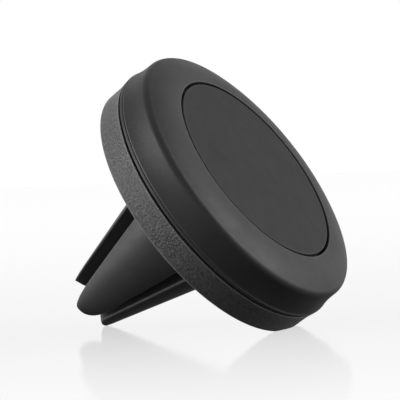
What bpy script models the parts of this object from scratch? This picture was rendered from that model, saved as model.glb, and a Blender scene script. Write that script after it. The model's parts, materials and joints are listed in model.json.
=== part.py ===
"""Magnetic phone mount for a car's air vent, resting on its rim and one prong.

A round head holds four magnets behind a thin face pad.  A tapered clip behind the
head is split by two crossed slots into four prongs, which grip a vent louvre.

Everything is modelled in head coordinates: the clip's axis is local Z, the pad's
front face is z = 0 and the clip points to negative z.  One empty then leans the
whole object onto the floor.
"""
import math

import bmesh
import bpy
from mathutils import Matrix, Vector

MM = 0.001
GAP = 0.3 * MM

# Head, front to back.
PAD_RADIUS = 15.3 * MM
PAD_THICKNESS = 1.0 * MM
PAD_EDGE = 0.15 * MM
GLUE_THICKNESS = 0.2 * MM
GLUE_RADIUS = 14.5 * MM
RECESS_RADIUS = 15.7 * MM
RECESS_FLOOR = -1.8 * MM
WEB_THICKNESS = 1.2 * MM
RING_INNER = 15.85 * MM
RING_CREST_Z = 0.08 * MM
SHOULDER_RADIUS = 20.67 * MM
SHOULDER_Z = -0.95 * MM
WALL_TOP_RADIUS = 21.46 * MM
WALL_TOP_Z = -2.1 * MM
WALL_MIDDLE_RADIUS = 21.52 * MM
WALL_MIDDLE_Z = -3.1 * MM
LIP_RADIUS = 22.0 * MM
LIP_Z = -5.95 * MM
FRONT_BORE = 19.9 * MM
SEAM = 0.35 * MM
REAR_RADIUS = 21.8 * MM
REAR_TOP_RADIUS = 21.95 * MM
BACK_Z = -10.33 * MM
BACK_WALL = 1.5 * MM
BACK_EDGE = 0.35 * MM
REST_FLAT = 0.18 * MM
SPIGOT_OUTER = 19.6 * MM
SPIGOT_INNER = 18.6 * MM
SPIGOT_Z = -4.9 * MM
REAR_BORE = 20.0 * MM

# Magnet stack.
MAGNET_COUNT = 4
MAGNET_RADIUS = 4.5 * MM
MAGNET_THICKNESS = 2.5 * MM
MAGNET_CIRCLE = 10.0 * MM
TRAY_RADIUS = 14.9 * MM
YOKE_INNER = 7.1 * MM
YOKE_OUTER = 13.0 * MM
YOKE_THICKNESS = 1.0 * MM
FOAM_INNER = 8.0 * MM
FOAM_OUTER = 11.8 * MM

# Screws: four join the two covers, four hold the clip.
CASE_SCREW_CIRCLE = 15.6 * MM
CASE_BOSS_RADIUS = 2.2 * MM
CASE_SEAT_RADIUS = 3.2 * MM
CASE_SEAT_DEPTH = 1.0 * MM
CASE_SCREW_HEAD = 1.8 * MM
CASE_SCREW_END = -4.6 * MM
CLIP_SCREW_CIRCLE = 5.0 * MM
CLIP_SCREW_HEAD = 1.7 * MM
CLIP_SCREW_END = -12.3 * MM
SCREW_HEAD_HEIGHT = 0.9 * MM
CASE_HEAD_HEIGHT = 0.65 * MM
SHANK_RADIUS = 1.0 * MM

# Clip: a cone cut by a wide and a narrow slot at right angles.
CLIP_DROP = 0.23 * MM
CONE_RADIUS = 6.4 * MM
CONE_RADIUS_Z = -27.9 * MM
CONE_SLOPE = 0.246
FOOT_RADIUS = 11.4 * MM
FOOT_HEIGHT = 0.5 * MM
FOOT_ROUND = 1.0 * MM
ROOT_Z = -13.4 * MM
TIP_Z = -35.95 * MM
TONGUE_LENGTH = 5.0 * MM
TONGUE_POWER = 2.9
TIP_ROUND = 1.7 * MM
TIP_BIAS = 0.98
WIDE_HALF_ROOT = 2.13 * MM
WIDE_HALF_TIP = 2.05 * MM
NARROW_HALF_ROOT = 1.12 * MM
NARROW_HALF_TIP = 0.34 * MM
PRONG_CORNER = 0.45 * MM
GRIP_THICKNESS = 1.1 * MM
CORE_END_Z = -29.0 * MM
HINGE_RADIUS = 7.5 * MM

# Turn about the axis at rest, a whole number of the round shapes' facets.
ROLL = 6.0
HEAD_SEGMENTS = 60
SMALL_SEGMENTS = 16
PRONG_NAMES = ("lower", "right", "upper", "left")
SMOOTH_ANGLE = 35.0


def material(name, colour, roughness, metallic=0.0):
    made = bpy.data.materials.new(name)
    made.use_nodes = True
    shader = made.node_tree.nodes["Principled BSDF"]
    shader.inputs["Base Color"].default_value = (*colour, 1.0)
    shader.inputs["Roughness"].default_value = roughness
    shader.inputs["Metallic"].default_value = metallic
    return made


def circle_through(first, middle, last):
    """Centre of the circle through three (radius, z) points."""
    (ax, ay), (bx, by), (cx, cy) = first, middle, last
    d = 2 * (ax * (by - cy) + bx * (cy - ay) + cx * (ay - by))
    a2, b2, c2 = ax * ax + ay * ay, bx * bx + by * by, cx * cx + cy * cy
    ux = (a2 * (by - cy) + b2 * (cy - ay) + c2 * (ay - by)) / d
    uy = (a2 * (cx - bx) + b2 * (ax - cx) + c2 * (bx - ax)) / d
    return ux, uy


def arc(first, middle, last, steps):
    """Points on the arc through three (radius, z) points, both ends included."""
    cx, cy = circle_through(first, middle, last)
    radius = math.dist((cx, cy), first)
    start = math.atan2(first[1] - cy, first[0] - cx)
    sweep = math.atan2(last[1] - cy, last[0] - cx) - start
    sweep = (sweep + math.pi) % (2 * math.pi) - math.pi
    return [(cx + radius * math.cos(start + sweep * i / steps),
             cy + radius * math.sin(start + sweep * i / steps)) for i in range(steps + 1)]


def add_object(name, mesh, finish, parent, matrix=None):
    mesh.materials.append(finish)
    mesh.shade_smooth()
    mesh.set_sharp_from_angle(angle=math.radians(SMOOTH_ANGLE))
    made = bpy.data.objects.new(name, mesh)
    bpy.context.collection.objects.link(made)
    made.parent = parent
    if matrix is not None:
        made.matrix_local = matrix
    return made


def finish_mesh(name, bm):
    bmesh.ops.recalc_face_normals(bm, faces=bm.faces)
    mesh = bpy.data.meshes.new(name)
    bm.to_mesh(mesh)
    bm.free()
    return mesh


def turned_mesh(name, profile, segments):
    """Spin a closed (radius, z) outline round Z, with a flat facet facing -Y."""
    bm = bmesh.new()
    start = math.radians(-90 + 180 / segments)
    corners = [bm.verts.new((r * math.cos(start), r * math.sin(start), z)) for r, z in profile]
    edges = [bm.edges.new((corners[i - 1], corners[i])) for i in range(len(corners))]
    axis_edges = [e for e in edges if all(v.co.xy.length < 1e-7 for v in e.verts)]
    for edge in axis_edges:
        edges.remove(edge)
        bm.edges.remove(edge)
    bmesh.ops.spin(bm, geom=corners + edges, cent=(0, 0, 0), axis=(0, 0, 1),
                   angle=2 * math.pi, steps=segments, use_merge=True)
    bmesh.ops.remove_doubles(bm, verts=bm.verts, dist=1e-6)
    return finish_mesh(name, bm)


def disc_outline(radius, top, bottom, edge=0.0):
    if edge == 0.0:
        return [(0, top), (radius, top), (radius, bottom), (0, bottom)]
    return [(0, top), (radius - edge, top), (radius - 0.3 * edge, top - 0.3 * edge),
            (radius, top - edge), (radius, bottom), (0, bottom)]


def ring_outline(inner, outer, top, bottom):
    return [(inner, top), (outer, top), (outer, bottom), (inner, bottom)]


def on_circle(radius, degrees):
    angle = math.radians(degrees)
    return Matrix.Translation((radius * math.cos(angle), radius * math.sin(angle), 0))


def boolean(target, tool, operation):
    """Cut or join with a guide solid, which is left out of the object."""
    tool.hide_render = True
    tool.display_type = "WIRE"
    step = target.modifiers.new(operation.lower() + "_" + tool.name, "BOOLEAN")
    step.operation = operation
    step.solver = "EXACT"
    step.object = tool


def rod_tool(name, radius, top, bottom, place, parent, finish):
    mesh = turned_mesh(name, disc_outline(radius, top, bottom), SMALL_SEGMENTS)
    return add_object(name, mesh, finish, parent, place)


def cone_radius(z):
    return CONE_RADIUS + CONE_SLOPE * (z - CONE_RADIUS_Z)


def slot_half(root_half, tip_half, z):
    share = (z - ROOT_Z) / (TIP_Z - ROOT_Z)
    return root_half + (tip_half - root_half) * share


def rounded(points, radius, steps=2):
    """Round every corner of a convex outline with small arcs of the given reach."""
    result = []
    count = len(points)
    for i in range(count):
        before, corner, after = (Vector(points[(i + k) % count]) for k in (-1, 0, 1))
        back = before - corner
        ahead = after - corner
        if back.angle(ahead) > math.radians(150):
            result.append(corner)
            continue
        reach = min(radius, 0.45 * back.length, 0.45 * ahead.length)
        first = corner + back.normalized() * reach
        last = corner + ahead.normalized() * reach
        for k in range(steps + 1):
            t = k / steps
            result.append(first * (1 - t) ** 2 + corner * 2 * t * (1 - t) + last * t ** 2)
    return result


def prong_section(z, wall):
    """Quarter of the cone between the two slots at height z, inset by a wall."""
    radius = cone_radius(z) - wall
    a = slot_half(WIDE_HALF_ROOT, WIDE_HALF_TIP, z) + wall
    b = slot_half(NARROW_HALF_ROOT, NARROW_HALF_TIP, z) + wall
    start = math.asin(b / radius)
    end = math.acos(a / radius)
    steps = 6
    points = [(a, b)]
    for i in range(steps + 1):
        angle = start + (end - start) * i / steps
        points.append((radius * math.cos(angle), radius * math.sin(angle)))
    return rounded(points, PRONG_CORNER)


def prong_levels():
    """Heights along a prong, with how far its section has narrowed and thinned."""
    straight = 4
    rounds = 7
    root = ROOT_Z - GAP
    start = TIP_Z + TONGUE_LENGTH
    levels = [(root + (start - root) * i / straight, 1.0, 1.0) for i in range(straight)]
    for i in range(rounds + 1):
        angle = math.radians(80 * i / rounds)
        left = TONGUE_LENGTH * (1 - math.sin(angle))
        thin = math.sqrt(1 - max(0.0, 1 - left / TIP_ROUND) ** 2)
        narrow = (1 - math.sin(angle) ** TONGUE_POWER) ** (1 / TONGUE_POWER)
        levels.append((TIP_Z + left, narrow, thin))
    return levels


def loft_mesh(name, sections):
    """Join equal outlines, each with its height, into one closed body."""
    bm = bmesh.new()
    rings = [[bm.verts.new((p[0], p[1], z)) for p in points] for points, z in sections]
    for lower, upper in zip(rings, rings[1:]):
        for i in range(len(lower)):
            bm.faces.new((lower[i - 1], lower[i], upper[i], upper[i - 1]))
    bm.faces.new(rings[0])
    bm.faces.new(rings[-1])
    return finish_mesh(name, bm)


def to_quarter(points, quarter):
    """Turn an outline from slot coordinates to head coordinates."""
    turn = math.radians(90 * quarter - 135)
    mirrored = quarter % 2 == 1
    placed = []
    for a, b in points:
        x, y = (b, a) if mirrored else (a, b)
        placed.append((x * math.cos(turn) - y * math.sin(turn),
                       x * math.sin(turn) + y * math.cos(turn)))
    return placed


def grip_mesh(name, quarter):
    """Prong with a rounded tongue end, kept near the cone's surface to its tip."""
    sections = []
    for z, narrow, thin in prong_levels():
        reach = cone_radius(z) * TIP_BIAS
        outline = []
        for x, y in prong_section(z, 0.0):
            across = (x - y) / 2 * narrow
            out = (x + y) / 2 - reach * math.sqrt(0.5)
            out = out * thin + reach * math.sqrt(0.5)
            outline.append((out + across, out - across))
        sections.append((to_quarter(outline, quarter), z))
    return loft_mesh(name, sections)


def core_mesh(name, quarter, wall, root, end):
    sections = []
    for z in (root, 0.5 * (root + end), end):
        sections.append((to_quarter(prong_section(z, wall), quarter), z))
    return loft_mesh(name, sections)


def cross_recess(name, radius, top, depth, place, parent, finish):
    """Cross-shaped tool that sinks into a screw head from its driven side."""
    arm = 0.62 * radius
    half = 0.17 * radius
    outline = []
    for turn in range(4):
        cos, sin = (1, 0, -1, 0)[turn], (0, 1, 0, -1)[turn]
        for x, y in ((half, half), (half, arm), (-half, arm)):
            outline.append((x * cos - y * sin, x * sin + y * cos))
    mesh = loft_mesh(name, [(outline, top - depth), (outline, top + depth)])
    return add_object(name, mesh, finish, parent, place)


def make_screw(name, head_radius, head_top, head_bottom, end, place, parent, finish):
    """Pan-head screw; head_top is the driven side, which may face either way."""
    height = head_top - head_bottom
    profile = [(0, head_top), (0.75 * head_radius, head_top),
               (head_radius, head_bottom + 0.55 * height),
               (head_radius, head_bottom), (SHANK_RADIUS, head_bottom),
               (SHANK_RADIUS, end + math.copysign(0.4 * MM, height)),
               (0.4 * SHANK_RADIUS, end), (0, end)]
    screw = add_object(name, turned_mesh(name, profile, SMALL_SEGMENTS), finish, parent, place)
    recess = cross_recess(name + "_recess", head_radius, head_top, 0.6 * abs(height),
                          place, parent, finish)
    boolean(screw, recess, "DIFFERENCE")


def make_head(pose, finishes):
    """Front cover, pad, glue, magnet stack and rear cover."""
    web_back = RECESS_FLOOR - WEB_THICKNESS
    front = [(0, RECESS_FLOOR), (RECESS_RADIUS, RECESS_FLOOR), (RECESS_RADIUS, -0.1 * MM)]
    front += arc((RING_INNER, RING_CREST_Z), (18.0 * MM, -0.08 * MM),
                 (SHOULDER_RADIUS, SHOULDER_Z), 5)
    front += arc((SHOULDER_RADIUS, SHOULDER_Z), (21.2 * MM, -1.33 * MM),
                 (WALL_TOP_RADIUS, WALL_TOP_Z), 3)[1:]
    front += arc((WALL_MIDDLE_RADIUS, WALL_MIDDLE_Z), (21.66 * MM, -4.3 * MM),
                 (LIP_RADIUS, LIP_Z + 0.1 * MM), 4)
    front += [(LIP_RADIUS - 0.1 * MM, LIP_Z), (FRONT_BORE, LIP_Z),
              (FRONT_BORE, web_back - 0.6 * MM), (FRONT_BORE - 0.6 * MM, web_back), (0, web_back)]
    front_cover = add_object("front_cover", turned_mesh("front_cover", front, HEAD_SEGMENTS),
                             finishes["soft_touch"], pose)

    pad = disc_outline(PAD_RADIUS, 0.0, -PAD_THICKNESS, PAD_EDGE)
    add_object("face_pad", turned_mesh("face_pad", pad, HEAD_SEGMENTS), finishes["pad"], pose)
    glue_top = -PAD_THICKNESS - GAP
    glue = disc_outline(GLUE_RADIUS, glue_top, glue_top - GLUE_THICKNESS)
    add_object("pad_adhesive", turned_mesh("pad_adhesive", glue, 48), finishes["adhesive"], pose)

    stack_top = web_back - GAP
    stack_back = stack_top - MAGNET_THICKNESS
    tray = add_object("magnet_tray", turned_mesh("magnet_tray", disc_outline(
        TRAY_RADIUS, stack_top, stack_back), 48), finishes["inner_plastic"], pose)
    for i in range(MAGNET_COUNT):
        degrees = 360 * i / MAGNET_COUNT
        place = on_circle(MAGNET_CIRCLE, degrees)
        mesh = turned_mesh("magnet", disc_outline(MAGNET_RADIUS, stack_top, stack_back), 32)
        add_object("magnet_%d" % (i + 1), mesh, finishes["magnet"], pose, place)
        pocket = rod_tool("pocket_%d" % (i + 1), MAGNET_RADIUS + GAP, stack_top + MM,
                          stack_back - MM, place, pose, finishes["inner_plastic"])
        boolean(tray, pocket, "DIFFERENCE")
        notch = rod_tool("notch_%d" % (i + 1), CASE_BOSS_RADIUS + 1.5 * GAP, stack_top + MM,
                         stack_back - MM, on_circle(CASE_SCREW_CIRCLE, degrees + 45), pose,
                         finishes["inner_plastic"])
        boolean(tray, notch, "DIFFERENCE")

    yoke_top = stack_back - GAP
    yoke_back = yoke_top - YOKE_THICKNESS
    add_object("yoke_ring", turned_mesh("yoke_ring", ring_outline(
        YOKE_INNER, YOKE_OUTER, yoke_top, yoke_back), 48), finishes["zinc"], pose)
    inner_back = BACK_Z + BACK_WALL
    add_object("foam_ring", turned_mesh("foam_ring", ring_outline(
        FOAM_INNER, FOAM_OUTER, yoke_back - GAP, inner_back + GAP), 48), finishes["foam"], pose)

    seam_z = LIP_Z - SEAM
    rear = [(REAR_TOP_RADIUS, seam_z), (REAR_TOP_RADIUS - 0.1 * MM, seam_z - 0.3 * MM),
            (REAR_RADIUS, seam_z - 1.0 * MM)]
    rear += arc((REAR_RADIUS, BACK_Z + BACK_EDGE),
                (REAR_RADIUS - 0.29 * BACK_EDGE, BACK_Z + 0.29 * BACK_EDGE),
                (REAR_RADIUS - BACK_EDGE, BACK_Z), 2)
    rear += [(0, BACK_Z), (0, inner_back), (REAR_BORE - 0.4 * MM, inner_back),
             (REAR_BORE, inner_back + 0.4 * MM), (REAR_BORE, seam_z - 1.1 * MM),
             (SPIGOT_INNER, seam_z - 0.3 * MM), (SPIGOT_INNER, SPIGOT_Z),
             (SPIGOT_OUTER - 0.2 * MM, SPIGOT_Z), (SPIGOT_OUTER, SPIGOT_Z - 0.2 * MM),
             (SPIGOT_OUTER, seam_z)]
    rear_cover = add_object("rear_cover", turned_mesh("rear_cover", rear, HEAD_SEGMENTS),
                            finishes["spark_texture"], pose)
    return front_cover, rear_cover


def make_case_screws(front_cover, rear_cover, pose, finishes):
    """Four screws in counterbores of the rear cover, in bosses of the front one."""
    web_back = RECESS_FLOOR - WEB_THICKNESS
    inner_back = BACK_Z + BACK_WALL
    seat_top = inner_back + 0.7 * MM
    boss_end = seat_top + GAP
    floor = BACK_Z + CASE_SEAT_DEPTH
    for i in range(MAGNET_COUNT):
        number = str(i + 1)
        place = on_circle(CASE_SCREW_CIRCLE, 360 * i / MAGNET_COUNT + 45)
        plastic = finishes["soft_touch"]
        boss = rod_tool("boss_" + number, CASE_BOSS_RADIUS, web_back + 0.5 * MM, boss_end,
                        place, pose, plastic)
        boolean(front_cover, boss, "UNION")
        pilot = rod_tool("pilot_" + number, SHANK_RADIUS + GAP, CASE_SCREW_END + GAP,
                         boss_end - MM, place, pose, plastic)
        boolean(front_cover, pilot, "DIFFERENCE")
        textured = finishes["spark_texture"]
        seat = rod_tool("seat_" + number, CASE_SEAT_RADIUS, seat_top, inner_back - 0.5 * MM,
                        place, pose, textured)
        boolean(rear_cover, seat, "UNION")
        bore = rod_tool("bore_" + number, CASE_SCREW_HEAD + GAP, floor, BACK_Z - MM,
                        place, pose, textured)
        boolean(rear_cover, bore, "DIFFERENCE")
        through = rod_tool("through_" + number, SHANK_RADIUS + GAP, seat_top + MM,
                           floor - 0.5 * MM, place, pose, textured)
        boolean(rear_cover, through, "DIFFERENCE")
        head_bottom = floor - GAP
        make_screw("case_screw_" + number, CASE_SCREW_HEAD, head_bottom - CASE_HEAD_HEIGHT,
                   head_bottom, CASE_SCREW_END, place, pose, finishes["black_steel"])


def make_clip(rear_cover, pose, finishes):
    """Clip base, its four screws, and four sprung prongs with stiff cores.

    The whole clip stands a little below the head's centre.
    """
    axis = bpy.data.objects.new("clip_axis", None)
    bpy.context.collection.objects.link(axis)
    axis.parent = pose
    axis.location = (0, -CLIP_DROP, 0)
    base_top = BACK_Z - GAP
    shelf = base_top - FOOT_HEIGHT
    neck_z = shelf - FOOT_ROUND
    neck = cone_radius(neck_z)
    base = [(0, base_top), (FOOT_RADIUS, base_top), (FOOT_RADIUS, shelf)]
    base += [(FOOT_RADIUS - 0.55 * (FOOT_RADIUS - neck), shelf - 0.3 * FOOT_ROUND), (neck, neck_z),
             (cone_radius(ROOT_Z), ROOT_Z), (0, ROOT_Z)]
    clip_base = add_object("clip_base", turned_mesh("clip_base", base, HEAD_SEGMENTS),
                           finishes["clip_rubber"], axis)
    inner_back = BACK_Z + BACK_WALL
    for quarter, label in enumerate(PRONG_NAMES):
        degrees = 90 * quarter - 90
        number = str(quarter + 1)
        place = on_circle(CLIP_SCREW_CIRCLE, degrees)
        hole = rod_tool("clip_hole_" + number, SHANK_RADIUS + GAP, inner_back + MM,
                        CLIP_SCREW_END - GAP, place, axis, finishes["spark_texture"])
        boolean(rear_cover, hole, "DIFFERENCE")
        boolean(clip_base, hole, "DIFFERENCE")
        head_bottom = inner_back + GAP
        make_screw("clip_screw_" + number, CLIP_SCREW_HEAD, head_bottom + SCREW_HEAD_HEIGHT,
                   head_bottom, CLIP_SCREW_END, place, axis, finishes["black_steel"])

        radial = math.radians(degrees)
        centre = Vector((HINGE_RADIUS * math.cos(radial), HINGE_RADIUS * math.sin(radial), ROOT_Z))
        hinge = bpy.data.objects.new("hinge_" + label, None)
        bpy.context.collection.objects.link(hinge)
        hinge.parent = axis
        hinge.location = centre
        back = Matrix.Translation(-centre)
        grip = add_object("prong_grip_" + label, grip_mesh("prong_grip_" + label, quarter),
                          finishes["clip_rubber"], hinge, back)
        root = ROOT_Z - GAP
        space = add_object("core_space_" + label, core_mesh(
            "core_space", quarter, GRIP_THICKNESS - GAP, root + MM, CORE_END_Z - GAP),
            finishes["clip_rubber"], hinge, back)
        boolean(grip, space, "DIFFERENCE")
        add_object("prong_core_" + label, core_mesh(
            "prong_core", quarter, GRIP_THICKNESS, root, CORE_END_Z),
            finishes["inner_plastic"], hinge, back)


def resting_turn(lean):
    return Matrix.Rotation(lean, 4, "X") @ Matrix.Rotation(math.radians(ROLL), 4, "Z")


def lowest(objects, lean):
    """Lowest point of the objects when the axis leans back by this angle."""
    turn = resting_turn(lean)
    graph = bpy.context.evaluated_depsgraph_get()
    heights = []
    for item in objects:
        mesh = item.evaluated_get(graph).data
        place = item.matrix_world
        heights += [(turn @ (place @ v.co)).z for v in mesh.vertices]
    return min(heights)


def lean_on_floor(pose):
    """Lean until a prong touches the floor and the rim dips into it, then centre it."""
    bpy.context.view_layer.update()
    shown = [o for o in bpy.data.objects if o.type == "MESH" and not o.hide_render]
    clip = [o for o in shown if o.name.startswith("prong_grip")]
    head = [o for o in shown if o.name == "rear_cover"]
    low, high = math.radians(40), math.radians(70)
    for _ in range(40):
        lean = 0.5 * (low + high)
        if lowest(clip, lean) < lowest(head, lean) + REST_FLAT:
            low = lean
        else:
            high = lean
    pose.matrix_world = resting_turn(lean)
    bpy.context.view_layer.update()
    graph = bpy.context.evaluated_depsgraph_get()
    points = [o.matrix_world @ v.co for o in shown for v in o.evaluated_get(graph).data.vertices]
    pose.location = (-0.5 * (min(p.x for p in points) + max(p.x for p in points)),
                     -0.5 * (min(p.y for p in points) + max(p.y for p in points)),
                     -min(p.z for p in points) - REST_FLAT)
    bpy.context.view_layer.update()


def flatten_rim(rear_cover, finish):
    """Cut the rim's small resting flat, in the plane of the floor."""
    bm = bmesh.new()
    bmesh.ops.create_cube(bm, size=1.0)
    size = 4 * LIP_RADIUS
    bmesh.ops.scale(bm, vec=(size, size, size), verts=bm.verts)
    bmesh.ops.translate(bm, vec=(0, 0, -0.5 * size), verts=bm.verts)
    below_floor = add_object("below_floor", finish_mesh("below_floor", bm), finish, None)
    boolean(rear_cover, below_floor, "DIFFERENCE")


def main():
    for item in list(bpy.data.objects):
        bpy.data.objects.remove(item, do_unlink=True)
    finishes = {
        "soft_touch": material("soft_touch", (0.06, 0.06, 0.062), 0.55),
        "pad": material("pad", (0.05, 0.05, 0.052), 0.75),
        "adhesive": material("adhesive", (0.75, 0.74, 0.7), 0.8),
        "inner_plastic": material("inner_plastic", (0.03, 0.03, 0.032), 0.5),
        "magnet": material("magnet", (0.7, 0.7, 0.72), 0.25, 1.0),
        "zinc": material("zinc", (0.6, 0.62, 0.64), 0.35, 1.0),
        "foam": material("foam", (0.04, 0.04, 0.04), 0.95),
        "spark_texture": material("spark_texture", (0.045, 0.045, 0.047), 0.5),
        "black_steel": material("black_steel", (0.05, 0.05, 0.055), 0.35, 1.0),
        "clip_rubber": material("clip_rubber", (0.03, 0.03, 0.031), 0.6),
    }
    pose = bpy.data.objects.new("resting_pose", None)
    bpy.context.collection.objects.link(pose)
    front_cover, rear_cover = make_head(pose, finishes)
    make_case_screws(front_cover, rear_cover, pose, finishes)
    make_clip(rear_cover, pose, finishes)
    lean_on_floor(pose)
    flatten_rim(rear_cover, finishes["spark_texture"])


main()
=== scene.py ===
"""Looks of a magnetic car vent phone mount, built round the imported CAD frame."""
import json
import math

import bmesh
import bpy
from mathutils import Matrix, Vector

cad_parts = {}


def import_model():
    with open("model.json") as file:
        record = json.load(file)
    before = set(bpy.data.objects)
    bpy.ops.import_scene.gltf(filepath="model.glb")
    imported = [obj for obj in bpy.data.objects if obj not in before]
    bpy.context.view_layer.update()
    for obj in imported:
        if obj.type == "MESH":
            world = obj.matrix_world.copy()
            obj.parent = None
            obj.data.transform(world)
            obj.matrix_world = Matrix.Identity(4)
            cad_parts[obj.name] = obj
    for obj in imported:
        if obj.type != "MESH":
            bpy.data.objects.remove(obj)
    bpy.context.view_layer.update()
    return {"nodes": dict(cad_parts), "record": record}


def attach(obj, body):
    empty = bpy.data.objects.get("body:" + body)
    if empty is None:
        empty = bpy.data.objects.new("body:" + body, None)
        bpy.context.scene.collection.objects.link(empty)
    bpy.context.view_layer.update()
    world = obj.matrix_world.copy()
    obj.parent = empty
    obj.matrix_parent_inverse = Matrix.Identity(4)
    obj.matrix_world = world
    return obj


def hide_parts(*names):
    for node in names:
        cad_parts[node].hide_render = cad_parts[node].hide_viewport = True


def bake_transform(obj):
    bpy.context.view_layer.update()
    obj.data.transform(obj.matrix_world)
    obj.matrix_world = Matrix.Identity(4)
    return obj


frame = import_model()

MM = 0.001

# Camera, at the height of a table top, with a long lens.
CAMERA_MM = (-180.97, -98.25, 23.36)
CAMERA_AZIMUTH = -61.770
CAMERA_ELEVATION = 1.189
CAMERA_ROLL = -2.670
CAMERA_LENS = 123.57

# Head, in millimetres: radius from the head's axis, and depth from the pad's face.
PAD_RADIUS = 15.3
PAD_BACK = -1.0
PAD_LOOPS = (0, 2, 4, 6, 8, 10, 11.5, 13, 14, 14.6, 15.0)
RECESS_RADIUS = 15.7
RECESS_FLOOR = -1.8
RING_INNER = (15.88, 0.09)
RING_CREST = (18.0, -0.08)
SHOULDER = (20.67, -0.95)
SHOULDER_MIDDLE = (21.23, -1.33)
WALL_TOP = (21.46, -2.1)
WALL_MIDDLE = (21.52, -3.1)
WALL_LOW = (21.64, -4.15)
WALL_END = (21.9, -5.35)
WEB_BACK = -3.0
WEB_CHAMFER = 0.6
FRONT_BORE = 19.9
LIP_RADIUS = 22.0
LIP_Z = -5.95
SEAM_Z = -6.3
BACK_Z = -10.33
INNER_BACK = -8.83
REAR_RADIUS = 21.8
REAR_TOP_RADIUS = 21.95
REAR_BORE = 20.0
SPIGOT_OUTER = 19.6
SPIGOT_INNER = 18.6
SPIGOT_Z = -4.9

# Case screws and their bores in the back.
SCREW_COUNT = 4
SCREW_CIRCLE = 15.6
SCREW_FIRST = 45
SCREW_BORE = 2.1
BORE_MOUTH = 0.2
SCREW_SEAT_Z = -9.33
SEAT_RADIUS = 3.2
SEAT_TOP = -8.13
SHANK_BORE = 1.3
SCREW_HEAD = 1.8
SCREW_HEAD_TOP = -10.28
SCREW_HEAD_HEIGHT = 0.65
SCREW_END = -4.6
THREAD_RADII = (0.78, 1.0)
THREAD_PITCH = 0.45
CROSS_ARM = 1.08
CROSS_HALF = 0.2
CROSS_RINGS = ((-0.1, 1.0), (0.45, 0.62))

# Clip: a cone cut by a wide and a narrow slot at right angles.
CLIP_DROP = 0.23
CONE_RADIUS = 6.4
CONE_RADIUS_Z = -27.9
CONE_SLOPE = 0.246
FOOT_RADIUS = 11.4
FOOT_TOP = -10.63
NECK_Z = -12.2
COLLAR_Z = -12.8
ROOT_Z = -13.4
TIP_Z = -35.95
TONGUE_LENGTH = 5.0
TONGUE_POWER = 2.9
TIP_ROUND = 1.7
TIP_BIAS = 0.98
WIDE_HALF = (2.13, 2.05)
NARROW_HALF = (1.12, 0.34)
OUTER_ROUND = 0.42
INNER_ROUND = 0.7
GRIP_WALL = 0.8
CORE_END_Z = -29.3
PRONGS = ("lower", "right", "upper", "left")

# Wear shows where an outer edge turns this much, this tightly, on faces this small.
WEAR_ANGLE = 0.07
WEAR_BEND = (1.0, 3.0)
WEAR_FACE = 0.3e-6
WEAR_TONE = 2.2

ROLL = 6.0
SHARP_ANGLE = math.radians(35)

# Steps round the head, round a screw, and round and along a prong.
TURNS = 240
SMALL_TURNS = 64
ARC_STEPS = 28
CORNER_STEPS = 7
STRAIGHT_RINGS = 26
TIP_RINGS = 30

# Table top: how far the shine reaches towards the camera, in metres, and how strong it is.
FLOOR_RADIUS = 4.0
FLOOR_DROP = 0.02
FLOOR_GREY = 0.2
FLOOR_ROUGHNESS = 0.1
FLOOR_GLOW = 0.2
FLOOR_FADE = (0.0, 0.09)
FLOOR_SHINE = 0.45

# Studio: bright behind the object, dim on the camera's side and below the table.
WORLD_RAMP = (0.4, 0.95)
WORLD_DIM = 0.1
WORLD_HORIZON = (-0.35, 0.0)
WORLD_BELOW = 0.25

# Softboxes: direction as right, up and towards the camera, distance, size and radiance.
SOFTBOXES = {
    "left": ((-0.9, 0.17, 0.13), 0.6, (0.35, 0.4), 6.0),
    "right": ((0.84, 0.38, 0.04), 0.6, (0.35, 0.6), 4.2),
    "front": ((-0.2, -0.05, 0.98), 0.8, (0.5, 0.5), 1.0),
    "top": ((0.0, 0.98, 0.1), 0.6, (0.4, 0.4), 0.15),
}
SOFTBOX_AIM = 0.02


def head_place():
    """Matrix from head coordinates to the row frame, read from the pad's mount."""
    mount = next(m for m in frame["record"]["mounts"] if m["name"] == "phone_face")
    normal = Vector(mount["axis"])
    lean = math.atan2(-normal.y, normal.z)
    turn = Matrix.Rotation(lean, 4, "X") @ Matrix.Rotation(math.radians(ROLL), 4, "Z")
    return Matrix.Translation(mount["pos_m"]) @ turn


HEAD = head_place()
CLIP = Matrix.Translation((0, -CLIP_DROP * MM, 0))


# ---------------------------------------------------------------- outlines


def circle_arc(first, middle, last, steps):
    """Points on the arc through three points, both ends included."""
    (ax, ay), (bx, by), (cx, cy) = first, middle, last
    d = 2 * (ax * (by - cy) + bx * (cy - ay) + cx * (ay - by))
    a2, b2, c2 = ax * ax + ay * ay, bx * bx + by * by, cx * cx + cy * cy
    ux = (a2 * (by - cy) + b2 * (cy - ay) + c2 * (ay - by)) / d
    uy = (a2 * (cx - bx) + b2 * (ax - cx) + c2 * (bx - ax)) / d
    radius = math.dist((ux, uy), first)
    start = math.atan2(ay - uy, ax - ux)
    sweep = math.atan2(cy - uy, cx - ux) - start
    sweep = (sweep + math.pi) % (2 * math.pi) - math.pi
    return [(ux + radius * math.cos(start + sweep * i / steps),
             uy + radius * math.sin(start + sweep * i / steps)) for i in range(steps + 1)]


def filleted(corners, steps=6):
    """Closed outline whose (x, y, radius) corners are rounded with true arcs."""
    points = []
    count = len(corners)
    for i, (x, y, radius) in enumerate(corners):
        corner = Vector((x, y))
        if radius == 0:
            points.append((x, y))
            continue
        back = (Vector(corners[i - 1][:2]) - corner).normalized()
        ahead = (Vector(corners[(i + 1) % count][:2]) - corner).normalized()
        half = back.angle(ahead) / 2
        reach = radius / math.tan(half)
        centre = corner + (back + ahead).normalized() * (radius / math.sin(half))
        first = corner + back * reach
        last = corner + ahead * reach
        middle = centre + (corner - centre).normalized() * radius
        points += circle_arc(first, middle, last, steps)
    return points


# ---------------------------------------------------------------- mesh building


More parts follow.
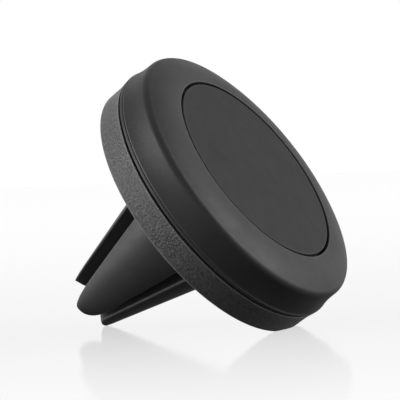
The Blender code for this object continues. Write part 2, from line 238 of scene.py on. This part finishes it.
def finish_mesh(name, bm):
    """Mesh made from bm, smooth but for its sharp edges."""
    bmesh.ops.recalc_face_normals(bm, faces=bm.faces)
    mesh = bpy.data.meshes.new(name)
    bm.to_mesh(mesh)
    bm.free()
    mesh.shade_smooth()
    mesh.set_sharp_from_angle(angle=SHARP_ANGLE)
    return mesh


def spun_mesh(name, outline, turns):
    """Spin a closed outline of (radius, z) in millimetres round Z."""
    bm = bmesh.new()
    start = math.radians(-90 + 180 / turns)
    corners = [bm.verts.new((r * MM * math.cos(start), r * MM * math.sin(start), z * MM))
               for r, z in outline]
    edges = []
    for i in range(len(corners)):
        if max(outline[i - 1][0], outline[i][0]) > 1e-6:
            edges.append(bm.edges.new((corners[i - 1], corners[i])))
    bmesh.ops.spin(bm, geom=corners + edges, cent=(0, 0, 0), axis=(0, 0, 1),
                   angle=2 * math.pi, steps=turns, use_merge=True)
    bmesh.ops.remove_doubles(bm, verts=bm.verts, dist=1e-7)
    return finish_mesh(name, bm)


def loft_mesh(name, rings):
    """Closed body through equal rings of points in millimetres."""
    bm = bmesh.new()
    made = [[bm.verts.new(Vector(p) * MM) for p in ring] for ring in rings]
    for lower, upper in zip(made, made[1:]):
        for i in range(len(lower)):
            bm.faces.new((lower[i - 1], lower[i], upper[i], upper[i - 1]))
    bm.faces.new(made[0])
    bm.faces.new(made[-1])
    return finish_mesh(name, bm)


def mark_wear(mesh):
    """Store on each vertex how tightly its outer edge is rounded, from 0 to 1."""
    bm = bmesh.new()
    bm.from_mesh(mesh)
    wear = bm.verts.layers.float.new("wear")
    low, high = WEAR_BEND
    for edge in bm.edges:
        angle = edge.calc_face_angle_signed(0.0)
        if angle < WEAR_ANGLE:
            continue
        width = min(f.calc_area() for f in edge.link_faces) / edge.calc_length() / MM
        bend = min(1.0, max(0.0, (angle / width - low) / (high - low)))
        for vert in edge.verts:
            if all(f.calc_area() < WEAR_FACE for f in vert.link_faces):
                vert[wear] = max(vert[wear], bend)
    bm.to_mesh(mesh)
    bm.free()


def piece(name, mesh, material, body, replaced, place=None):
    """A finished piece that rides on a body and stands for CAD nodes."""
    mark_wear(mesh)
    mesh.transform(HEAD if place is None else HEAD @ place)
    mesh.materials.clear()
    mesh.materials.append(material)
    made = bpy.data.objects.new(name, mesh)
    bpy.context.scene.collection.objects.link(made)
    if body is not None:
        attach(made, body)
    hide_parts(*replaced)
    return made


def carve(mesh, tools, operation="DIFFERENCE"):
    """The mesh with every tool mesh cut from it, or joined to it."""
    target = bpy.data.objects.new("carving", mesh)
    bpy.context.scene.collection.objects.link(target)
    helpers = []
    for tool, place in tools:
        helper = bpy.data.objects.new("tool", tool)
        bpy.context.scene.collection.objects.link(helper)
        helper.matrix_world = place
        helpers.append(helper)
        step = target.modifiers.new("carve", "BOOLEAN")
        step.operation = operation
        step.solver = "EXACT"
        step.object = helper
    bpy.context.view_layer.update()
    graph = bpy.context.evaluated_depsgraph_get()
    result = bpy.data.meshes.new_from_object(target.evaluated_get(graph))
    for item in helpers + [target]:
        bpy.data.objects.remove(item, do_unlink=True)
    result.shade_smooth()
    result.set_sharp_from_angle(angle=SHARP_ANGLE)
    return result


def screw_places():
    """Matrices of the case screws' axes, spaced evenly round the head."""
    places = []
    for i in range(SCREW_COUNT):
        angle = math.radians(SCREW_FIRST + 360 / SCREW_COUNT * i)
        x, y = SCREW_CIRCLE * MM * math.cos(angle), SCREW_CIRCLE * MM * math.sin(angle)
        places.append(Matrix.Translation((x, y, 0)))
    return places


# ---------------------------------------------------------------- materials


def map_range(tree, value, low, high, to_low, to_high):
    """Socket with the value's range from low to high mapped to another range."""
    node = tree.nodes.new("ShaderNodeMapRange")
    node.inputs["From Min"].default_value = low
    node.inputs["From Max"].default_value = high
    node.inputs["To Min"].default_value = to_low
    node.inputs["To Max"].default_value = to_high
    tree.links.new(value, node.inputs["Value"])
    return node.outputs["Result"]


def math_node(tree, operation, first, second):
    node = tree.nodes.new("ShaderNodeMath")
    node.operation = operation
    tree.links.new(first, node.inputs[0])
    tree.links.new(second, node.inputs[1])
    return node.outputs["Value"]


def distance_along(tree, coordinates, direction):
    """Socket with how far the coordinates lie in a direction."""
    node = tree.nodes.new("ShaderNodeVectorMath")
    node.operation = "DOT_PRODUCT"
    node.inputs[1].default_value = direction
    tree.links.new(coordinates, node.inputs[0])
    return node.outputs["Value"]


class Nodes:
    """Short way to build one Principled material."""

    def __init__(self, name, roughness, metallic=0.0, specular=0.5):
        self.material = bpy.data.materials.new(name)
        self.material.use_nodes = True
        self.tree = self.material.node_tree
        self.shader = self.tree.nodes["Principled BSDF"]
        self.shader.inputs["Metallic"].default_value = metallic
        self.shader.inputs["Specular IOR Level"].default_value = specular
        self.shader.inputs["Roughness"].default_value = roughness
        self.coordinates = self.tree.nodes.new("ShaderNodeTexCoord").outputs["Object"]
        self.normal = None

    def noise(self, per_mm, detail=3.0, roughness=0.6, distortion=0.0):
        node = self.tree.nodes.new("ShaderNodeTexNoise")
        node.inputs["Scale"].default_value = per_mm / MM
        node.inputs["Detail"].default_value = detail
        node.inputs["Roughness"].default_value = roughness
        node.inputs["Distortion"].default_value = distortion
        self.tree.links.new(self.coordinates, node.inputs["Vector"])
        return node.outputs["Fac"]

    def cells(self, per_mm):
        node = self.tree.nodes.new("ShaderNodeTexVoronoi")
        node.inputs["Scale"].default_value = per_mm / MM
        self.tree.links.new(self.coordinates, node.inputs["Vector"])
        return node.outputs["Distance"]

    def edges(self):
        """Zero on flat ground, one on tightly rounded outer edges."""
        node = self.tree.nodes.new("ShaderNodeAttribute")
        node.attribute_name = "wear"
        return node.outputs["Fac"]

    def spread(self, value, low, high, to_low=0.0, to_high=1.0):
        return map_range(self.tree, value, low, high, to_low, to_high)

    def add(self, first, second):
        return math_node(self.tree, "ADD", first, second)

    def blend(self, share, first, second):
        """Colour between two colours, or between a socket and a colour."""
        node = self.tree.nodes.new("ShaderNodeMix")
        node.data_type = "RGBA"
        self.tree.links.new(share, node.inputs["Factor"])
        for socket, colour in ((node.inputs["A"], first), (node.inputs["B"], second)):
            if isinstance(colour, tuple):
                socket.default_value = (*colour, 1.0)
            else:
                self.tree.links.new(colour, socket)
        return node.outputs["Result"]

    def colour(self, socket):
        self.tree.links.new(socket, self.shader.inputs["Base Color"])

    def roughness(self, socket):
        self.tree.links.new(socket, self.shader.inputs["Roughness"])

    def bump(self, height, depth_mm):
        """Relief from a height socket, added to any relief made before."""
        node = self.tree.nodes.new("ShaderNodeBump")
        node.inputs["Strength"].default_value = 1.0
        node.inputs["Distance"].default_value = depth_mm * MM
        self.tree.links.new(height, node.inputs["Height"])
        if self.normal is not None:
            self.tree.links.new(self.normal, node.inputs["Normal"])
        self.normal = node.outputs["Normal"]
        self.tree.links.new(self.normal, self.shader.inputs["Normal"])


def grey(value):
    return (value, value, value)


def plastic(name, dark, light, roughness, grain_per_mm, grain_depth, specular=0.5):
    """Moulded plastic or rubber: blotchy tone, grain and worn outer edges.

    The tone varies from dark to light, and the grain's depth is in millimetres.
    """
    n = Nodes(name, roughness, specular=specular)
    blotch = n.noise(0.12, 4.0)
    tone = n.blend(n.spread(blotch, 0.35, 0.65), grey(dark), grey(light))
    n.colour(n.blend(n.edges(), tone, grey(light * WEAR_TONE)))
    fine = n.noise(grain_per_mm, 2.0, 0.5)
    smear = n.noise(0.3, 5.0, 0.7, 0.4)
    n.roughness(n.add(n.spread(smear, 0.3, 0.7, roughness - 0.04, roughness + 0.05),
                      n.spread(fine, 0.3, 0.7, -0.02, 0.02)))
    n.bump(fine, grain_depth)
    return n.material


def spark_plastic(name):
    """Coarse spark-eroded texture: small pits, and glints painted into the colour as lighter
    speckles.
    """
    n = Nodes(name, 0.5, specular=0.9)
    pits_and_painted_glints = n.noise(3.0, 3.0, 0.65)
    fine = n.noise(6.0, 2.0, 0.6)
    # Painted glints: the coarse noise lightens the colour in speckles, from 0.045 up to 0.13.
    tone = n.blend(n.spread(pits_and_painted_glints, 0.35, 0.65), grey(0.045), grey(0.13))
    n.colour(n.blend(n.edges(), tone, grey(0.2)))
    n.roughness(n.spread(fine, 0.3, 0.7, 0.38, 0.52))
    n.bump(pits_and_painted_glints, 0.16)
    n.bump(fine, 0.04)
    return n.material


def metal(name, colour, roughness, per_mm, depth):
    """Plated metal: cloudy tone, uneven polish and fine relief."""
    n = Nodes(name, roughness, metallic=1.0)
    stain = n.noise(0.6, 4.0)
    darker = tuple(0.7 * c for c in colour)
    n.colour(n.blend(n.spread(stain, 0.35, 0.7), darker, colour))
    fine = n.noise(per_mm, 3.0)
    n.roughness(n.spread(fine, 0.3, 0.7, roughness - 0.07, roughness + 0.1))
    n.bump(fine, depth)
    return n.material


def foam(name):
    """Closed-cell foam: hollow bubbles, with painted shade darkest at the bottom of each
    hollow.
    """
    n = Nodes(name, 0.95, specular=0.2)
    bubbles = n.cells(3.5)
    # Painted shade: the colour darkens towards the bottom of each bubble's hollow, where the
    # bump is deepest.
    n.colour(n.blend(n.spread(bubbles, 0.0, 0.5), grey(0.012), grey(0.05)))
    n.bump(bubbles, 0.15)
    return n.material


def tape(name):
    """Pale double-sided tape with wavy fibres."""
    n = Nodes(name, 0.6)
    fibres = n.noise(2.5, 6.0, 0.7, 1.5)
    n.colour(n.blend(n.spread(fibres, 0.3, 0.7), (0.66, 0.64, 0.58), (0.8, 0.79, 0.75)))
    n.bump(fibres, 0.02)
    return n.material


MATERIALS = {
    "soft_touch": plastic("soft_touch", 0.038, 0.048, 0.52, 4.5, 0.022, specular=0.45),
    "pad": plastic("pad", 0.019, 0.0215, 0.62, 12.0, 0.004, specular=0.4),
    "spark_texture": spark_plastic("spark_texture"),
    "clip_rubber": plastic("clip_rubber", 0.042, 0.053, 0.50, 5.0, 0.014),
    "inner_plastic": plastic("inner_plastic", 0.02, 0.028, 0.45, 6.0, 0.01),
    "magnet": metal("magnet", (0.72, 0.70, 0.66), 0.22, 5.0, 0.004),
    "zinc": metal("zinc", (0.58, 0.60, 0.62), 0.35, 3.0, 0.008),
    "black_steel": metal("black_steel", (0.09, 0.09, 0.095), 0.38, 6.0, 0.006),
    "foam": foam("foam"),
    "adhesive": tape("adhesive"),
}


# ---------------------------------------------------------------- the head


def front_cover():
    """Domed ring, tight shoulder, flared wall and fine lip above the seam."""
    outline = [(0, RECESS_FLOOR), (RECESS_RADIUS, RECESS_FLOOR), (RECESS_RADIUS, -0.12)]
    outline += circle_arc((RECESS_RADIUS, -0.05), (15.74, 0.05), (15.84, 0.09), 5)
    outline += circle_arc(RING_INNER, RING_CREST, SHOULDER, 24)
    outline += circle_arc(SHOULDER, SHOULDER_MIDDLE, WALL_TOP, 14)[1:]
    outline += circle_arc(WALL_MIDDLE, WALL_LOW, WALL_END, 18)
    outline += [(21.88, -5.45), (21.91, -5.5)]
    outline += circle_arc((21.98, -5.56), (LIP_RADIUS, -5.68), (LIP_RADIUS, -5.8), 4)
    outline += circle_arc((LIP_RADIUS, -5.85), (21.97, -5.92), (21.9, LIP_Z), 4)
    outline += [(FRONT_BORE, LIP_Z), (FRONT_BORE, WEB_BACK - WEB_CHAMFER)]
    outline += [(FRONT_BORE - WEB_CHAMFER, WEB_BACK), (0, WEB_BACK)]
    piece("front_shell", spun_mesh("front_shell", outline, TURNS), MATERIALS["soft_touch"],
          "head", ["front_cover"])


def face_pad():
    """Flat pad with a fine rolled edge."""
    outline = [(r, 0) for r in PAD_LOOPS]
    outline += filleted([(0, 0, 0), (PAD_RADIUS, 0, 0.16), (PAD_RADIUS, PAD_BACK, 0.1),
                         (0, PAD_BACK, 0)])[1:]
    piece("pad_disc", spun_mesh("pad_disc", outline, TURNS), MATERIALS["pad"],
          "head", ["face_pad"])


def rear_cover():
    """Straight textured wall, fine edge, and flat back with stepped screw bores."""
    wall_end = SEAM_Z - 1.1
    corners = [
        (REAR_TOP_RADIUS, SEAM_Z, 0.08), (21.9, SEAM_Z - 0.35, 0),
        (REAR_RADIUS, wall_end, 0), (REAR_RADIUS, BACK_Z, 0.28), (0, BACK_Z, 0),
        (0, INNER_BACK, 0), (REAR_BORE - 0.4, INNER_BACK, 0),
        (REAR_BORE, INNER_BACK + 0.4, 0), (REAR_BORE, wall_end, 0),
        (SPIGOT_INNER, SEAM_Z - 0.3, 0), (SPIGOT_INNER, SPIGOT_Z, 0),
        (SPIGOT_OUTER - 0.2, SPIGOT_Z, 0), (SPIGOT_OUTER, SPIGOT_Z - 0.2, 0),
        (SPIGOT_OUTER, SEAM_Z, 0)]
    mesh = spun_mesh("rear_shell", filleted(corners, 8), TURNS)
    seat_end = INNER_BACK - 0.5
    seat = spun_mesh("seat", [
        (0, seat_end), (SEAT_RADIUS, seat_end), (SEAT_RADIUS, SEAT_TOP), (0, SEAT_TOP)],
        SMALL_TURNS)
    wide = SCREW_BORE + BORE_MOUTH
    bore = spun_mesh("bore", [
        (0, SCREW_SEAT_Z), (SCREW_BORE, SCREW_SEAT_Z), (SCREW_BORE, BACK_Z + BORE_MOUTH),
        (wide, BACK_Z), (wide, BACK_Z - 1), (0, BACK_Z - 1)], SMALL_TURNS)
    shank_top, shank_end = SEAT_TOP + 1, BACK_Z + 0.5
    through = spun_mesh("through", [
        (0, shank_top), (SHANK_BORE, shank_top), (SHANK_BORE, shank_end), (0, shank_end)],
        SMALL_TURNS)
    places = screw_places()
    mesh = carve(mesh, [(seat, p) for p in places], "UNION")
    mesh = carve(mesh, [(tool, p) for p in places for tool in (bore, through)])
    made = piece("rear_shell", mesh, MATERIALS["spark_texture"], "head",
                 ["rear_cover"])
    flatten_rim(made.data)


def flatten_rim(mesh):
    """Cut the small flat that the rim rests on, in the plane of the table top."""
    bm = bmesh.new()
    bm.from_mesh(mesh)
    cut = bmesh.ops.bisect_plane(bm, geom=bm.verts[:] + bm.edges[:] + bm.faces[:],
                                 plane_co=(0, 0, 0), plane_no=(0, 0, -1), clear_outer=True)
    rim = [e for e in cut["geom_cut"] if isinstance(e, bmesh.types.BMEdge)]
    bmesh.ops.edgenet_fill(bm, edges=rim)
    bmesh.ops.recalc_face_normals(bm, faces=bm.faces)
    bm.to_mesh(mesh)
    bm.free()
    mesh.set_sharp_from_angle(angle=SHARP_ANGLE)


def case_screws():
    """Pan-head screws with a tapered cross recess, seen in the bores of the back."""
    seat = SCREW_HEAD_TOP + SCREW_HEAD_HEIGHT
    root, crest = THREAD_RADII
    outline = [(0, SCREW_HEAD_TOP)]
    outline += circle_arc((1.1, SCREW_HEAD_TOP), (1.6, SCREW_HEAD_TOP + 0.12),
                          (SCREW_HEAD, SCREW_HEAD_TOP + 0.38), 8)
    outline += [(SCREW_HEAD, seat), (crest, seat)]
    z = seat + 0.4
    while z < SCREW_END - 0.6:
        outline += [(root, z), (crest, z + THREAD_PITCH / 2)]
        z += THREAD_PITCH
    outline += [(0.6, SCREW_END - 0.4), (0.1, SCREW_END), (0, SCREW_END)]
    body = spun_mesh("case_screw", outline, SMALL_TURNS)
    rings = []
    for depth, size in CROSS_RINGS:
        arm, half = CROSS_ARM * size, CROSS_HALF * size
        ring = []
        for cos, sin in ((1, 0), (0, 1), (-1, 0), (0, -1)):
            for x, y in ((half, half), (half, arm), (-half, arm)):
                ring.append((x * cos - y * sin, x * sin + y * cos, SCREW_HEAD_TOP + depth))
        rings.append(ring)
    cross = loft_mesh("cross", rings)
    body = carve(body, [(cross, Matrix.Identity(4))])
    for i, place in enumerate(screw_places()):
        turn = Matrix.Rotation(math.radians(17 + 31 * i), 4, "Z")
        piece("screw_%d" % (i + 1), body.copy(), MATERIALS["black_steel"], "head",
              ["case_screw_%d" % (i + 1)], place @ turn)


# ---------------------------------------------------------------- the clip


def cone_radius(z):
    """Radius of the whole clip at height z."""
    return CONE_RADIUS + CONE_SLOPE * (z - CONE_RADIUS_Z)


def slot_half(ends, z):
    """Half of a slot's width at height z, from its halves at the root and the tip."""
    share = (z - ROOT_Z) / (TIP_Z - ROOT_Z)
    return ends[0] + (ends[1] - ends[0]) * share


def clip_base():
    """Foot on the rear cover, swept up into the cone that the prongs grow from."""
    outline = [(0, FOOT_TOP), (FOOT_RADIUS, FOOT_TOP)]
    outline += circle_arc((FOOT_RADIUS, -10.98), (FOOT_RADIUS - 0.08, -11.18),
                          (FOOT_RADIUS - 0.3, -11.28), 5)
    outline += circle_arc((FOOT_RADIUS - 0.5, -11.33), (10.55, -11.6),
                          (cone_radius(NECK_Z), NECK_Z), 10)
    outline += [(cone_radius(COLLAR_Z), COLLAR_Z), (cone_radius(ROOT_Z), ROOT_Z), (0, ROOT_Z)]
    piece("clip_foot", spun_mesh("clip_foot", outline, TURNS), MATERIALS["clip_rubber"],
          "head", ["clip_base"], CLIP)


def rounded_corner(enter, corner, leave):
    """Points on a curve that rounds a corner, both ends included."""
    points = []
    for i in range(CORNER_STEPS + 1):
        t = i / CORNER_STEPS
        points.append(tuple(enter * (1 - t) ** 2 + corner * 2 * t * (1 - t) + leave * t ** 2))
    return points


def prong_section(z, wall):
    """Quarter of the cone between the slots at height z, inset by a wall."""
    radius = cone_radius(z) - wall
    a = slot_half(WIDE_HALF, z) + wall
    b = slot_half(NARROW_HALF, z) + wall
    start, end = math.asin(b / radius), math.acos(a / radius)
    trim = OUTER_ROUND / radius
    arc = []
    for i in range(ARC_STEPS + 1):
        t = start + trim + (end - start - 2 * trim) * i / ARC_STEPS
        arc.append(Vector((radius * math.cos(t), radius * math.sin(t))))
    root = Vector((a, b))
    first = Vector((radius * math.cos(start), b))
    last = Vector((a, radius * math.sin(end)))
    points = rounded_corner(root + Vector((0, INNER_ROUND)), root,
                            root + Vector((INNER_ROUND, 0)))
    points += rounded_corner(first + (root - first).normalized() * OUTER_ROUND, first, arc[0])
    points += [tuple(point) for point in arc[1:-1]]
    points += rounded_corner(arc[-1], last, last + (root - last).normalized() * OUTER_ROUND)
    return points


def to_quarter(points, quarter):
    """Turn an outline from slot coordinates to head coordinates."""
    turn = math.radians(90 * quarter - 135)
    placed = []
    for a, b in points:
        x, y = (b, a) if quarter % 2 == 1 else (a, b)
        placed.append((x * math.cos(turn) - y * math.sin(turn),
                       x * math.sin(turn) + y * math.cos(turn)))
    return placed


def prong_ring(z, quarter, narrow=1.0, thin=1.0):
    """Outline of a prong at height z, drawn in towards its outer face."""
    reach = cone_radius(z) * TIP_BIAS * math.sqrt(0.5)
    outline = []
    for x, y in prong_section(z, 0.0):
        across = (x - y) / 2 * narrow
        out = ((x + y) / 2 - reach) * thin + reach
        outline.append((out + across, out - across))
    return [(x, y, z) for x, y in to_quarter(outline, quarter)]


def prong_skin(quarter, label):
    """One soft prong: tongue end, rounded edges, and a bore for its stiff core."""
    rings = []
    for z in (CORE_END_Z, ROOT_Z):
        section = prong_section(z, GRIP_WALL)
        rings.append([(x, y, z) for x, y in to_quarter(section, quarter)])
    start = TIP_Z + TONGUE_LENGTH
    for i in range(STRAIGHT_RINGS):
        rings.append(prong_ring(ROOT_Z + (start - ROOT_Z) * i / STRAIGHT_RINGS, quarter))
    for i in range(TIP_RINGS + 1):
        angle = math.radians(88 * i / TIP_RINGS)
        left = TONGUE_LENGTH * (1 - math.sin(angle))
        thin = math.sqrt(1 - max(0.0, 1 - left / TIP_ROUND) ** 2)
        narrow = (1 - math.sin(angle) ** TONGUE_POWER) ** (1 / TONGUE_POWER)
        rings.append(prong_ring(TIP_Z + left, quarter, narrow, max(thin, 0.04)))
    name = "prong_" + label
    made = piece(name, loft_mesh(name, rings), MATERIALS["clip_rubber"], None,
                 ["prong_grip_" + label], CLIP)
    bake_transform(made)


# ---------------------------------------------------------------- what stays from the CAD


def dress_inner_parts():
    """Hidden pieces keep their CAD shape and get their own materials."""
    wanted = {
        "pad_adhesive": "adhesive", "magnet_tray": "inner_plastic", "yoke_ring": "zinc",
        "foam_ring": "foam"}
    for i in range(4):
        wanted["magnet_%d" % (i + 1)] = "magnet"
        wanted["clip_screw_%d" % (i + 1)] = "black_steel"
        wanted["prong_core_" + PRONGS[i]] = "inner_plastic"
    for node, slot in wanted.items():
        shown = frame["nodes"][node]
        shown.data.materials.clear()
        shown.data.materials.append(MATERIALS[slot])


# ---------------------------------------------------------------- stage, light and camera


def camera():
    """Sets the camera, and returns the matrix that turns its axes to the row frame."""
    made = bpy.data.objects.new("camera", bpy.data.cameras.new("camera"))
    bpy.context.scene.collection.objects.link(made)
    azimuth, elevation = math.radians(CAMERA_AZIMUTH), math.radians(CAMERA_ELEVATION)
    back = Vector((math.sin(azimuth) * math.cos(elevation),
                   -math.cos(azimuth) * math.cos(elevation), math.sin(elevation)))
    turn = back.to_track_quat("Z", "Y").to_matrix().to_4x4()
    turn = turn @ Matrix.Rotation(math.radians(CAMERA_ROLL), 4, "Z")
    made.matrix_world = Matrix.Translation(Vector(CAMERA_MM) * MM) @ turn
    made.data.lens = CAMERA_LENS
    made.data.sensor_width = 36.0
    made.data.clip_start = 0.01
    bpy.context.scene.camera = made
    return turn.to_3x3()


def softbox(name, toward, distance, size, radiance):
    """Soft light that faces the object from a direction in the camera's axes, in metres."""
    data = bpy.data.lights.new(name, "AREA")
    data.shape = "RECTANGLE"
    data.size, data.size_y = size
    data.energy = radiance * math.pi * size[0] * size[1]
    made = bpy.data.objects.new(name, data)
    bpy.context.scene.collection.objects.link(made)
    direction = (VIEW_AXES @ Vector(toward)).normalized()
    made.location = direction * distance + Vector((0, 0, SOFTBOX_AIM))
    made.rotation_mode = "QUATERNION"
    made.rotation_quaternion = direction.to_track_quat("Z", "Y")


def floor():
    """Pale table top, round and wide, that shines less and less towards the camera."""
    bm = bmesh.new()
    bmesh.ops.create_circle(bm, cap_ends=True, segments=128, radius=FLOOR_RADIUS)
    bmesh.ops.translate(bm, verts=bm.verts, vec=(0, 0, -FLOOR_DROP * MM))
    made = bpy.data.objects.new("floor", finish_mesh("floor", bm))
    bpy.context.scene.collection.objects.link(made)
    n = Nodes("floor", FLOOR_ROUGHNESS)
    n.shader.inputs["Base Color"].default_value = (*grey(FLOOR_GREY), 1.0)
    n.shader.inputs["Emission Color"].default_value = (1, 1, 1, 1)
    n.shader.inputs["Emission Strength"].default_value = FLOOR_GLOW
    toward = (VIEW_AXES @ Vector((0, 0, 1))) * Vector((1, 1, 0))
    nearer = distance_along(n.tree, n.coordinates, toward)
    shine = n.spread(nearer, *FLOOR_FADE, FLOOR_SHINE, 0.0)
    n.tree.links.new(shine, n.shader.inputs["Alpha"])
    made.data.materials.append(n.material)
    made.visible_diffuse = False
    made.visible_glossy = False


def world():
    """Studio: white behind the object, dim on the camera's side and below."""
    made = bpy.data.worlds.new("studio")
    bpy.context.scene.world = made
    made.use_nodes = True
    tree = made.node_tree
    background = tree.nodes["Background"]
    around = tree.nodes.new("ShaderNodeTexCoord").outputs["Generated"]
    seen = tree.nodes.new("ShaderNodeLightPath").outputs["Is Camera Ray"]
    behind = distance_along(tree, around, -(VIEW_AXES @ Vector((0, 0, 1))))
    ramp = map_range(tree, behind, *WORLD_RAMP, WORLD_DIM, 1.0)
    height = distance_along(tree, around, Vector((0, 0, 1)))
    above = map_range(tree, height, *WORLD_HORIZON, WORLD_BELOW, 1.0)
    lighting = math_node(tree, "MULTIPLY", ramp, above)
    strength = math_node(tree, "MAXIMUM", lighting, seen)
    tree.links.new(strength, background.inputs["Strength"])
    background.inputs["Color"].default_value = (1, 1, 1, 1)


VIEW_AXES = camera()
world()
floor()
for box, settings in SOFTBOXES.items():
    softbox(box, *settings)
bpy.context.scene.view_settings.view_transform = "Standard"

front_cover()
face_pad()
rear_cover()
case_screws()
clip_base()
for quarter, label in enumerate(PRONGS):
    prong_skin(quarter, label)
dress_inner_parts()
